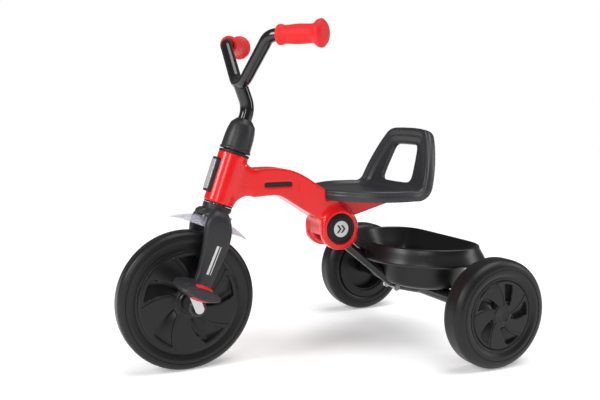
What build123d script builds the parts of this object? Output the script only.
from build123d import *
import math
import os

# Children's folding tricycle, in millimetres. It faces -Y, +X is its left side, +Z is up.
# Inside the script y is counted from the front axle and z from the ground. The export moves
# everything by Y_MID, so that the origin is the middle of the footprint.

# wheels
FRONT_R = 125.0
FRONT_HALF = 19.4
FRONT_DISC_R = 91.9
FRONT_DISC_X = 22.7
FRONT_SEAT_R = 84.0
REAR_R = 100.0
REAR_HALF = 24.5
REAR_DISC_R = 68.6
REAR_DISC_X = 22.5
REAR_SEAT_R = 64.0
REAR_AXLE_Y = 503.0
TRACK_HALF = 230.5
WALL = 3.0

# steering axis and head tube, measured along the axis from the height of the front axle
RAKE = 19.0
TRAIL_OFFSET = 4.0
HEAD_R = 27.5
HEAD_LOW = 179.0
HEAD_HIGH = 270.6
BUSH_R = 17.0
STEERER_R = 14.3
STEM_R = 12.4
STEM_WALL = 1.5
RUNNING = 0.05
GAP = 0.4

# handlebar: lowest point of the V, the bend at each grip and the two ends of a grip
BAR_R = 11.0
BAR_LOW = (0, 102.6, 492.4)
BAR_BEND = (100.5, 115.9, 583.3)
GRIP_IN = (114.8, 126.8, 583.3)
GRIP_OUT = (177.5, 174.9, 583.3)
STEM_BEND_AT = 357.9
STEM_TOP = (0, 104.6, 506.0)
V_RADIUS = 40.0
GRIP_RADIUS = 30.0
STEM_RADIUS = 45.0
CLAMP_Z = 297.0

# fork and cranks
CROWN_LOW = 157.0
CROWN_HALF = 52.0
SCREW_X = 41.0
SCREW_Y = (-14, 14)
SCREW_TOP = 161.0
LEG_IN = 30.0
LEG_OUT = 50.0
BOSS_OUT = 68.0
BOSS_R = 16.0
AXLE_R = 6.0
CRANK_LENGTH = 45.0
CRANK_LEAN = 21.0
CRANK_IN = 69.0
CRANK_OUT = 75.5
PEDAL_IN = 79.0
PEDAL_OUT = 146.0
PEDAL_TILT = -24.0
PEDAL_HALF = 31.0
PEDAL_TIP_R = 8.0
PEDAL_THICK = 28.0
PIN_R = 5.0

# fold pivot and rear frame
HUB_Y = 293.2
HUB_Z = 238.1
HUB_R = 40.3
BARREL_R = 36.0
HUB_HALF = 38.0
CHEEK_IN = 15.5
BUTTON_R = 28.6
BUTTON_SEAT = 28.5
LEG_R = 12.5
AXLE_TUBE_R = 14.0
AXLE_Z = REAR_R
AXLE_TUBE_HALF = 200.0
REAR_AXLE_R = 5.0
LEG_HEAD = (0, 303.2, 222.9)
LEG_KNEE = (0, 441.0, 112.9)
LEG_FOOT = (0, 506.0, 96.5)
LEG_BEND = 70.0
LEG_BOLT = (434.0, 107.0)

# beam, seat and basket
BEAM_HALF = 22.0
INLAY = 1.5
SEAT_UNDER = 297.0
SEAT_LEAN = 19.0
RIM_Z = 202.4
APRON_Z = 168.0
TUB_LOW = 115.0
TUB_WALL = 3.2
# left half of the tub's rim, front to rear, and the seat bolts, all as (x, y)
TUB_CORNERS = [(60, 380), (112, 414), (146, 458), (150, 500), (134, 548), (104, 563)]
SEAT_BOLTS = [(0, 300), (-20, 396), (20, 396)]
BOSS_ROOM_R = 30.0
SWING_R = 80.0
SWING_FROM = -8
SWING_TO = -158
STEM_IN = 19.5

Y_MID = (REAR_AXLE_Y + REAR_R - FRONT_R) / 2
STEER = Location((0, TRAIL_OFFSET, FRONT_R), (-RAKE, 0, 0))
HUB = Location((0, HUB_Y, HUB_Z))
AXLE_IN_STEER = (-TRAIL_OFFSET * math.cos(math.radians(RAKE)), -TRAIL_OFFSET * math.sin(math.radians(RAKE)))
PARTS = {}


def add_part(name, part):
    PARTS[name] = Pos(0, -Y_MID, 0) * part


def add_pair(name, part):
    add_part(name + "_left", part)
    add_part(name + "_right", mirror(part, about=Plane.YZ))


def rod(radius, x0, x1, y=0.0, z=0.0):
    """Round bar along X."""
    return Pos((x0 + x1) / 2, y, z) * (Rot(0, 90, 0) * Cylinder(radius, x1 - x0))


def post(radius, z0, z1, x=0.0, y=0.0):
    """Round bar along Z."""
    return Pos(x, y, (z0 + z1) / 2) * Cylinder(radius, z1 - z0)


def block(x0, x1, y0, y1, z0, z1):
    return Pos((x0 + x1) / 2, (y0 + y1) / 2, (z0 + z1) / 2) * Box(x1 - x0, y1 - y0, z1 - z0)


def side_plate(points, x0, x1):
    """Plate cut to a (y, z) outline and standing between two x values."""
    face = Plane.YZ * make_face(Polyline(*points, close=True))
    return Pos(x0, 0, 0) * extrude(face, x1 - x0)


def turned(points):
    """Body of revolution about X from an (x, radius) outline."""
    return revolve(make_face(Polyline(*points, close=True)), Axis.X)


def spun(points):
    """Body of revolution about Z from a (radius, z) outline."""
    return revolve(Plane.XZ * make_face(Polyline(*points, close=True)), Axis.Z)


def pipe(points, bends, radius):
    path = FilletPolyline(*points, radius=bends)
    start = Plane(origin=path @ 0, z_dir=path % 0)
    return sweep(start * Circle(radius), path)


def steer(part):
    return STEER * part


def axis_point(height):
    """Point on the steering axis at a distance along it."""
    lean = math.radians(RAKE)
    return (0, TRAIL_OFFSET + height * math.sin(lean), FRONT_R + height * math.cos(lean))


# ---- main frame ----

def beam():
    """Moulded beam from the head tube over the hump and down to the pivot."""
    with BuildLine() as line:
        Polyline((88, 368), (116, 361), (124, 355))
        crest = [(124, 355), (167, 355.5), (209, 346.7), (258.5, 316.4)]
        Spline(*crest, tangents=((1, 0), (0.84, -0.54)))
        Polyline((258.5, 316.4), (290, 292), (325, 262), (325, 220), (262, 220), (258, 254))
        Polyline((258, 254), (201, 289.6))
        belly = [(201, 289.6), (175.7, 304), (146.8, 305.4), (104.6, 300.7), (84, 283)]
        Spline(*belly, tangents=((-0.86, 0.5), (-0.7, -0.7)))
        Line((84, 283), (88, 368))
    side = Pos(-60, 0, 0) * extrude(Plane.YZ * make_face(line.line), 120)
    half = [(60, 24), (110, BEAM_HALF), (215, BEAM_HALF), (262, 32), (300, 36), (340, 36)]
    right = [(w, y) for y, w in half]
    left = [(-w, y) for y, w in reversed(half)]
    plan = make_face(Polyline(*right, *left, close=True))
    return side & extrude(plan, 500)


def seat_bracket():
    """Upright web and flat top flange that carry the seat."""
    web = side_plate([(285, 293), (430, 293), (432, 283), (343, 259), (300, 240)], -9, 9)
    flange = block(-32, 32, 284, 432, SEAT_UNDER - 5, SEAT_UNDER)
    nose = side_plate([(262, 290), (262, 301), (284, SEAT_UNDER), (300, SEAT_UNDER), (300, 280)], -20, 20)
    return web + flange + nose


def main_frame():
    head = steer(post(HEAD_R, HEAD_LOW, HEAD_HIGH))
    cheeks = HUB * rod(HUB_R, -HUB_HALF, HUB_HALF)
    frame = beam() + head + seat_bracket() + cheeks
    frame -= steer(post(BUSH_R, 0, 400)) + steer(post(HEAD_R + 15, HEAD_LOW - 40, HEAD_LOW))
    # room for the leg's boss and for the leg's whole swing
    frame -= HUB * rod(BOSS_ROOM_R, -CHEEK_IN, CHEEK_IN)
    swing = [(0, 0)]
    for angle in range(SWING_FROM, SWING_TO - 1, -15):
        swing.append((SWING_R * math.cos(math.radians(angle)), SWING_R * math.sin(math.radians(angle))))
    frame -= HUB * side_plate(swing, -CHEEK_IN, CHEEK_IN)
    frame -= HUB * rod(8, -HUB_HALF, HUB_HALF)
    for side in (-1, 1):
        outer = sorted((side * BUTTON_SEAT, side * 60))
        frame -= HUB * rod(BUTTON_R + GAP, *outer)
    # the barrel between the flanges is a little slimmer
    groove = HUB * (rod(HUB_R + 20, -24, 24) - rod(BARREL_R, -24, 24))
    groove_area = [(200, 150), (HUB_Y, 150), (HUB_Y, HUB_Z), (262, 262), (250, 240)]
    frame -= groove & side_plate(groove_area, -24, 24)
    for side in (-1, 1):
        frame -= inlay_shape(side)
    for x, y in SEAT_BOLTS:
        frame -= post(3.0, 280, SEAT_UNDER + 1, x, y)
        frame -= post(6.5, 240, SEAT_UNDER - 5, x, y)
    frame -= seat_shell_body()
    return frame


def inlay_shape(side):
    """Stadium-shaped inlay, flush in the beam's side."""
    slot = Plane.YZ * SlotOverall(56, 9)
    x0 = BEAM_HALF - INLAY if side > 0 else -BEAM_HALF
    return Pos(x0, 170.6, 325.5) * extrude(slot, INLAY)


def head_bush(z_in, z_face, z_out, flange_r):
    """Flanged plastic bush. z_in is its end inside the head tube."""
    low, high = sorted((z_in, z_face))
    bush = post(BUSH_R, low, high)
    low, high = sorted((z_face, z_out))
    bush += post(flange_r, low, high)
    return bush - post(STEERER_R + RUNNING, 0, 400)


def reflector():
    housing = block(-17, 17, -34.5, -20, 193.5, 257) - post(HEAD_R, 150, 300)
    housing = fillet(housing.edges().filter_by(Axis.Y), 4)
    lens = block(-13.5, 13.5, -36, -31.5, 198, 252.5)
    lens = fillet(lens.edges().filter_by(Axis.Y), 3)
    add_part("reflector_housing", steer(housing - lens))
    add_part("reflector_lens", steer(lens))


def spring():
    """Flat coil behind a fold button, drawn at its pressed length."""
    line = Helix(pitch=1.3, height=2.6, radius=11.5)
    start = Plane(origin=line @ 0, z_dir=line % 0)
    coil = sweep(start * Circle(0.6), line, is_frenet=True)
    return HUB * (Pos(BUTTON_SEAT + 0.62, 0, 0) * (Rot(0, 90, 0) * coil))


def fold_button():
    face = 38.5
    back = 33.5
    button = rod(BUTTON_R, back, face) + rod(5.4, STEM_IN, back)
    button -= rod(15, back, back + 3) - rod(8, back, back + 3)
    button = fillet(button.edges().filter_by(GeomType.CIRCLE).sort_by(Axis.X)[-1], 1.2)
    return HUB * button


# ---- seat ----

def seat_outline(inset, y_rear=438):
    """Plan of the seat pan: narrow rounded nose, broad rear."""
    wide = 119 - inset
    right = [(30 - inset * 0.6, 263 + inset), (68 - inset, 280 + inset), (98 - inset, 315), (wide, 358)]
    right += [(wide, 410), (wide - 6, y_rear - inset * 0.5)]
    points = right + [(-x, y) for x, y in reversed(right)]
    return make_face(FilletPolyline(*points, radius=8, close=True))


def seat_back():
    """Rounded loop behind the pan, leaning back, with the hand opening."""
    half = [(117, -14), (108, 30), (93, 72), (70, 112), (52, 122)]
    outline = half + [(-x, z) for x, z in reversed(half)]
    face = make_face(FilletPolyline(*outline, radius=10, close=True))
    hole = make_face(FilletPolyline((50, 20), (36, 92), (-36, 92), (-50, 20), radius=12, close=True))
    plate = extrude(Plane.XZ * (face - hole), 8, both=True)
    return Pos(0, 434, 304) * (Rot(-SEAT_LEAN, 0, 0) * plate)


def seat_shell_body():
    pan = Pos(0, 0, 294) * extrude(seat_outline(0), 20.5)
    dish = Pos(0, 0, 306) * extrude(seat_outline(16, 470), 30)
    hollow = Pos(0, 0, 290) * extrude(seat_outline(5, 430), SEAT_UNDER - 290)
    back = seat_back()
    return (pan - dish - hollow) + (back & block(-200, 200, 380, 600, SEAT_UNDER, 500))


def seat_shell():
    seat = seat_shell_body()
    for x, y in SEAT_BOLTS:
        seat -= post(3.0, 290, 303, x, y)
    return seat


def seat_bolts():
    low = SEAT_UNDER - 5
    bolts = [post(3.0, low, 303, x, y) + post(5.2, low - 4, low, x, y) for x, y in SEAT_BOLTS]
    return Compound(children=bolts)


# ---- steering ----

def fork_crown():
    """Collar under the head tube, bridge over the wheel and the lug of the mudguard."""
    crown = post(26, CROWN_LOW + 12, HEAD_LOW - 2.6 - GAP)
    crown += loft([Plane.XY.offset(CROWN_LOW + 13) * Circle(25.5),
                   Plane.XY.offset(CROWN_LOW + 5) * Ellipse(CROWN_HALF - 3, 26)])
    bridge = extrude(Plane.XY.offset(CROWN_LOW) * RectangleRounded(2 * CROWN_HALF, 49, 14), 6)
    lug = block(-14, 14, -38, -10, CROWN_LOW, CROWN_LOW + 7)
    crown += bridge + lug
    pad = post(9, CROWN_LOW - 4, CROWN_LOW + 1, 0, -18)
    crown += pad - rod(156.6, -20, 20, *AXLE_IN_STEER)
    crown -= post(STEERER_R, CROWN_LOW + 6, 200)
    for side in (-1, 1):
        for y in SCREW_Y:
            crown -= post(2.5, CROWN_LOW - 1, SCREW_TOP, side * SCREW_X, y)
    crown -= post(2.0, CROWN_LOW - 10, CROWN_LOW + 5.5, 0, -18)
    return steer(crown)


def fork_leg():
    """Left leg: tapering arm with a round boss for the axle bush."""
    y0, z0 = AXLE_IN_STEER
    outline = [(-24, CROWN_LOW), (-24.5, 130), (-17.5, 87), (-14.5, 60), (-15.5, 20), (y0 - 14, z0)]
    outline += [(y0 + 14, z0), (16, 20), (21, 45), (27, 114), (26, 132), (24, CROWN_LOW)]
    leg = side_plate(outline, LEG_IN, LEG_OUT)
    leg += rod(BOSS_R, LEG_IN, BOSS_OUT - GAP, y0, z0)
    leg -= rod(9, 0, 80, y0, z0)
    for y in SCREW_Y:
        leg -= post(2.5, CROWN_LOW - 14, CROWN_LOW + 1, SCREW_X, y)
    return steer(leg)


def fork_screws():
    places = [(side * SCREW_X, y) for side in (-1, 1) for y in SCREW_Y]
    screws = [post(2.5, CROWN_LOW - 14, SCREW_TOP, x, y) for x, y in places]
    return Compound(children=[steer(screw) for screw in screws])


def fork_bush():
    bush = rod(9, LEG_IN, BOSS_OUT - GAP, *AXLE_IN_STEER) + rod(12, LEG_IN - 2.5, LEG_IN, *AXLE_IN_STEER)
    return steer(bush - rod(AXLE_R + RUNNING, 0, 80, *AXLE_IN_STEER))


def mudguard():
    """Clear leaf-shaped guard, curved about the front axle."""
    shell = rod(156.6, -40, 40, *AXLE_IN_STEER) - rod(154.1, -40, 40, *AXLE_IN_STEER)
    with BuildLine() as edge:
        ThreePointArc((0, -79), (27.5, 0), (0, 79))
        ThreePointArc((0, 79), (-27.5, 0), (0, -79))
    leaf = Plane.XY.offset(100) * extrude(make_face(edge.line), 100)
    guard = (shell & leaf) - post(2.0, 100, 200, 0, -18)
    return steer(guard)


def mudguard_screw():
    seat = rod(154.1, -20, 20, *AXLE_IN_STEER)
    head = post(4.0, CROWN_LOW - 9, CROWN_LOW, 0, -18) & seat
    return steer(post(2.0, CROWN_LOW - 6, CROWN_LOW + 5.5, 0, -18) + head)


def steering_tubes():
    clamp = steer(rod(3.0, -40, 40, 0, CLAMP_Z))
    steerer = post(STEERER_R, CROWN_LOW + 6, CLAMP_Z + 10) - post(STEM_R, 0, 400)
    add_part("steerer_tube", steer(steerer) - clamp)
    bar = handlebar_solid(BAR_R)
    path = [axis_point(240), axis_point(STEM_BEND_AT), STEM_TOP]
    stem = pipe(path, STEM_RADIUS, STEM_R) - pipe(path, STEM_RADIUS, STEM_R - STEM_WALL)
    add_part("handlebar_stem", stem - bar - clamp)
    add_part("handlebar", bar - handlebar_solid(BAR_R - STEM_WALL))
    bolt = rod(3.0, -18, 18, 0, CLAMP_Z) + rod(5.5, STEERER_R + 0.5, 19, 0, CLAMP_Z)
    nut = Rot(0, 90, 0) * extrude(RegularPolygon(5.5, 6), 4.0)
    nut = Pos(-STEERER_R - 4.4, 0, CLAMP_Z) * nut
    bolt += nut
    add_part("stem_bolt", steer(bolt))


def handlebar_solid(radius):
    gx, gy, gz = GRIP_OUT
    left = [(gx - 4, gy - 3.1, gz), BAR_BEND, BAR_LOW]
    right = [(-x, y, z) for x, y, z in reversed(left[:-1])]
    return pipe(left + right, [GRIP_RADIUS, V_RADIUS, GRIP_RADIUS], radius)


def stem_cap():
    low = HEAD_HIGH + 6.3
    outer = [(0, low), (28.4, low), (28.4, low + 4), (27.6, low + 5)]
    outer += [(25.6, 318), (24, 325), (19, 332), (14, 336)]
    outer += [(0, 336)]
    inner = [(0, low), (24.5, low), (22.6, 316), (20, 323), (13.5, 331), (0, 331)]
    cap = spun(outer) - spun(inner) - post(STEM_R + 0.1, 200, 400)
    return steer(cap)


def grip():
    """Soft grip along its own axis: inner flange, barrelled body, domed outer end."""
    start = Vector(*GRIP_IN)
    along = Vector(*GRIP_OUT) - start
    length = along.length
    body = [(0, 0), (15, 0), (17, 1.5), (17.2, 5), (16, 9), (15, 14), (16, 36), (15.2, length - 12)]
    body += [(17, length - 9), (22, length - 5), (23.5, length - 1), (21.5, length + 4), (14, length + 7.5)]
    body += [(0, length + 8.5)]
    place = Plane(origin=start, z_dir=along).location
    return place * spun(body) - handlebar_solid(BAR_R)


# ---- front wheel, cranks and pedals ----

def tyre(radius, half, shoulder, bore, flat):
    """Foam tyre with rounded shoulders and a bore that the wheel's barrel fills."""
    with BuildLine() as line:
        Line((-flat, bore), (flat, bore))
        Line((flat, bore), (half, bore + 6))
        Line((half, bore + 6), (half, radius - shoulder))
        ThreePointArc((half, radius - shoulder),
                      (half - shoulder * 0.293, radius - shoulder * 0.293), (half - shoulder, radius))
        Line((half - shoulder, radius), (shoulder - half, radius))
        ThreePointArc((shoulder - half, radius),
                      (shoulder * 0.293 - half, radius - shoulder * 0.293), (-half, radius - shoulder))
        Line((-half, radius - shoulder), (-half, bore + 6))
        Line((-half, bore + 6), (-flat, bore))
    return revolve(make_face(line.line), Axis.X)


def front_disc():
    """Left half of the front wheel: hub, dished face and barrel inside the tyre."""
    face = FRONT_DISC_X
    bore = FRONT_SEAT_R
    outline = [(0.05, AXLE_R), (face + 4, AXLE_R), (face + 4, 19), (face - 1, 24), (face - 1, bore + 2)]
    outline += [(face, bore + 5), (face, FRONT_DISC_R), (FRONT_HALF, FRONT_DISC_R), (FRONT_HALF, bore + 6)]
    outline += [(FRONT_HALF - 3, bore), (0.05, bore), (0.05, bore - WALL), (FRONT_HALF - 3.5, bore - WALL)]
    outline += [(FRONT_HALF - 1, bore - 6), (FRONT_HALF - 1, 22), (0.05, 20)]
    return Pos(0, 0, FRONT_R) * turned(outline)


def axle_shaft():
    return Pos(0, 0, FRONT_R) * rod(AXLE_R, -CRANK_OUT, CRANK_OUT)


def crank():
    """Left crank, upright: flat bar with the pedal's pin riveted in."""
    lean = Rot(CRANK_LEAN, 0, 0)
    bar = extrude(Plane.YZ * SlotOverall(CRANK_LENGTH + 16, 16, rotation=90), CRANK_OUT - CRANK_IN)
    arm = Pos(CRANK_IN, 0, CRANK_LENGTH / 2) * bar
    arm -= rod(AXLE_R, 0, 100)
    arm += rod(PIN_R, CRANK_OUT, PEDAL_OUT - 6, 0, CRANK_LENGTH)
    arm += rod(PIN_R + 2.5, CRANK_OUT, PEDAL_IN - GAP, 0, CRANK_LENGTH)
    return Pos(0, 0, FRONT_R) * (lean * arm)


def crank_end(side):
    """Centre of a pedal's pin as y and z: the left crank is up, the right one down."""
    lean = math.radians(CRANK_LEAN)
    return (-side * CRANK_LENGTH * math.sin(lean), FRONT_R + side * CRANK_LENGTH * math.cos(lean))


def pedal(side):
    """Pedal block, thick in the middle, with inlays above and below."""
    half = PEDAL_HALF
    tip = PEDAL_TIP_R
    with BuildLine() as line:
        ThreePointArc((-half, tip), (0, PEDAL_THICK / 2), (half, tip))
        ThreePointArc((half, tip), (half + tip, 0), (half, -tip))
        ThreePointArc((half, -tip), (0, -PEDAL_THICK / 2), (-half, -tip))
        ThreePointArc((-half, -tip), (-half - tip, 0), (-half, tip))
    body = Pos(PEDAL_IN, 0, 0) * extrude(Plane.YZ * make_face(line.line), PEDAL_OUT - PEDAL_IN)
    body -= rod(PIN_R + RUNNING, 0, PEDAL_OUT - 5)
    strip = block(PEDAL_OUT - 16, PEDAL_OUT - 5, -18, 18, 10.5, 20)
    strip += block(PEDAL_OUT - 16, PEDAL_OUT - 5, -18, 18, -20, -10.5)
    inlays = body & strip
    body -= strip
    y, z = crank_end(side)
    place = Pos(0, y, z) * Rot(PEDAL_TILT, 0, 0)
    if side < 0:
        body = mirror(body, about=Plane.YZ)
        inlays = mirror(inlays, about=Plane.YZ)
    return place * body, place * inlays


# ---- rear frame and wheels ----

def rear_leg():
    """Single curved leg from the pivot boss to the axle tube."""
    leg = pipe([LEG_HEAD, LEG_KNEE, LEG_FOOT], LEG_BEND, LEG_R)
    leg += HUB * rod(28, -CHEEK_IN + GAP, CHEEK_IN - GAP)
    leg -= HUB * rod(8 + RUNNING, -30, 30)
    leg -= rod(AXLE_TUBE_R, -40, 40, REAR_AXLE_Y, AXLE_Z)
    leg -= rod(3.0, -40, 40, *LEG_BOLT)
    return leg


def axle_tube():
    tube = rod(AXLE_TUBE_R, -AXLE_TUBE_HALF, AXLE_TUBE_HALF, REAR_AXLE_Y, AXLE_Z)
    return tube - rod(REAR_AXLE_R, -300, 300, REAR_AXLE_Y, AXLE_Z)


def rear_axle():
    return rod(REAR_AXLE_R, -TRACK_HALF - 18.6, TRACK_HALF + 18.6, REAR_AXLE_Y, AXLE_Z)


def axle_nuts():
    nut = Rot(0, 90, 0) * extrude(RegularPolygon(8.5, 6), 5.5)
    nut = Pos(TRACK_HALF + 12.6, REAR_AXLE_Y, AXLE_Z) * nut - rear_axle()
    return Compound(children=[nut, mirror(nut, about=Plane.YZ)])


def wheel_washers():
    x0 = AXLE_TUBE_HALF
    washer = rod(9, x0, x0 + 3.0, REAR_AXLE_Y, AXLE_Z) - rear_axle()
    return Compound(children=[washer, mirror(washer, about=Plane.YZ)])


def leg_bolt():
    """Bolt and nut across the leg and through the walls of the tub's channel."""
    seat = LEG_R + GAP + TUB_WALL
    bolt = rod(3.0, -seat - 9, seat + 5, *LEG_BOLT) + rod(6.5, seat, seat + 5, *LEG_BOLT)
    nut = Rot(0, 90, 0) * extrude(RegularPolygon(6.5, 6), 5.5)
    return bolt + Pos(-seat - 5.5, *LEG_BOLT) * nut


def rear_core():
    """Wheel body inside the tyre: barrel, web and hub, outboard towards +X."""
    half = REAR_HALF
    bore = REAR_SEAT_R
    outline = [(-half + 2, REAR_AXLE_R + RUNNING), (12, REAR_AXLE_R + RUNNING), (12, 15), (3, 16)]
    outline += [(3, bore - WALL), (half - 7, bore - WALL), (half - 7, bore)]
    outline += [(-half + 4, bore), (-half, bore + 6)]
    outline += [(-half, bore - 8), (-half + 4, bore - 8), (-half + 4, bore - 12), (0, bore - 12)]
    outline += [(0, 16), (-half + 2, 15)]
    return turned(outline)


def rear_cover():
    """Outer face of a rear wheel, snapped into the barrel's end."""
    face = REAR_DISC_X
    outline = [(face - 3, 0), (face, 0), (face, 60), (face, REAR_DISC_R), (face - 3, REAR_DISC_R)]
    outline += [(face - 3, REAR_SEAT_R), (face - 5, REAR_SEAT_R - WALL), (face - 8, REAR_SEAT_R - WALL)]
    outline += [(face - 8, REAR_SEAT_R - 2 * WALL), (face - 3, REAR_SEAT_R - 2 * WALL)]
    return turned(outline)


# ---- basket ----

def tub_outline(inset, z):
    """Plan of the tub at a height, set in from the rim by the same distance all round."""
    corners = TUB_CORNERS + [(-x, y) for x, y in reversed(TUB_CORNERS)]
    points = []
    for index, corner in enumerate(corners):
        here = Vector(*corner)
        before = (here - Vector(*corners[index - 1])).normalized()
        after = (Vector(*corners[(index + 1) % len(corners)]) - here).normalized()
        turn = Vector(-before.Y - after.Y, before.X + after.X)
        moved = here + turn * (inset / (1 + before.dot(after)))
        points.append((moved.X, moved.Y))
    return Plane.XY.offset(z) * make_face(Polyline(*points, close=True))


def tub_block(levels):
    return loft([tub_outline(inset, z) for inset, z in levels], ruled=True)


def leg_channel(radius):
    """Space of the leg and all below it, where the tub straddles the leg."""
    below = [(370, 168), LEG_KNEE[1:], LEG_FOOT[1:], (LEG_FOOT[1], 60), (370, 60)]
    return pipe([LEG_HEAD, LEG_KNEE, LEG_FOOT], LEG_BEND, radius) + side_plate(below, -radius, radius)


def basket():
    outer = tub_block([(46, TUB_LOW), (33, 126), (22, 165), (0, RIM_Z)])
    wall = TUB_WALL
    cavity = tub_block([(48, TUB_LOW + wall), (33 + wall, 129), (22 + wall, 165), (wall, RIM_Z + 0.5)])
    skirt = tub_block([(-13, APRON_Z), (0, RIM_Z)])
    skirt -= tub_block([(wall - 13, APRON_Z - 1), (wall, RIM_Z - 1)])
    tub = outer + skirt - (cavity - leg_channel(LEG_R + GAP + wall))
    return tub - leg_channel(LEG_R + GAP) - rod(3.0, -60, 60, *LEG_BOLT)


# ---- assembly ----

def rear_wheel(part, side):
    turned_part = part if side > 0 else mirror(part, about=Plane.YZ)
    return Pos(side * TRACK_HALF, REAR_AXLE_Y, AXLE_Z) * turned_part


def build():
    add_part("main_frame", main_frame())
    add_part("frame_inlay_left", inlay_shape(1))
    add_part("frame_inlay_right", inlay_shape(-1))
    add_part("head_bush_lower", steer(head_bush(HEAD_LOW + 22, HEAD_LOW, HEAD_LOW - 2.6, 26)))
    upper = head_bush(HEAD_HIGH - 22, HEAD_HIGH, HEAD_HIGH + 3.6, HEAD_R + 0.3)
    upper += post(21, HEAD_HIGH + 3.6, HEAD_HIGH + 5.9) - post(STEERER_R + RUNNING, 0, 400)
    add_part("head_bush_upper", steer(upper))
    reflector()
    add_part("pivot_pin", HUB * (rod(8, -BUTTON_SEAT, BUTTON_SEAT) - rod(6, -40, 40)))
    add_pair("button_spring", spring())
    add_pair("fold_button", fold_button())
    add_part("seat_shell", seat_shell())
    add_part("seat_bolts", seat_bolts())

    add_part("fork_crown", fork_crown())
    add_pair("fork_leg", fork_leg())
    add_part("fork_screws", fork_screws())
    add_pair("fork_bush", fork_bush())
    add_part("mudguard", mudguard())
    add_part("mudguard_screw", mudguard_screw())
    steering_tubes()
    add_part("stem_cap", stem_cap())
    add_pair("grip", grip())

    front_tyre = tyre(FRONT_R, FRONT_HALF, 12.5, FRONT_SEAT_R, FRONT_HALF - 3)
    add_part("front_tyre", Pos(0, 0, FRONT_R) * front_tyre)
    add_pair("front_disc", front_disc())
    add_part("axle_shaft", axle_shaft())
    add_part("crank_left", crank())
    flip = Pos(0, 0, FRONT_R) * (Rot(180, 0, 0) * (Pos(0, 0, -FRONT_R) * mirror(crank(), about=Plane.YZ)))
    add_part("crank_right", flip)
    for side, name in ((1, "left"), (-1, "right")):
        body, inlays = pedal(side)
        add_part("pedal_" + name, body)
        add_part("pedal_inlays_" + name, inlays)

    add_part("rear_leg", rear_leg())
    add_part("axle_tube", axle_tube())
    add_part("rear_axle", rear_axle())
    add_part("axle_nuts", axle_nuts())
    add_part("wheel_washers", wheel_washers())
    add_part("leg_bolt", leg_bolt())
    add_part("basket", basket())
    rear_tyre = tyre(REAR_R, REAR_HALF, 14.5, REAR_SEAT_R, REAR_HALF - 4)
    rear_tyre -= rod(REAR_DISC_R, REAR_DISC_X - 3, REAR_HALF + 5)
    for side, name in ((1, "left"), (-1, "right")):
        add_part("rear_tyre_" + name, rear_wheel(rear_tyre, side))
        add_part("rear_core_" + name, rear_wheel(rear_core(), side))
        add_part("rear_cover_" + name, rear_wheel(rear_cover(), side))


build()
os.makedirs("parts", exist_ok=True)
for node, part in PARTS.items():
    export_step(part, "parts/" + node + ".step")
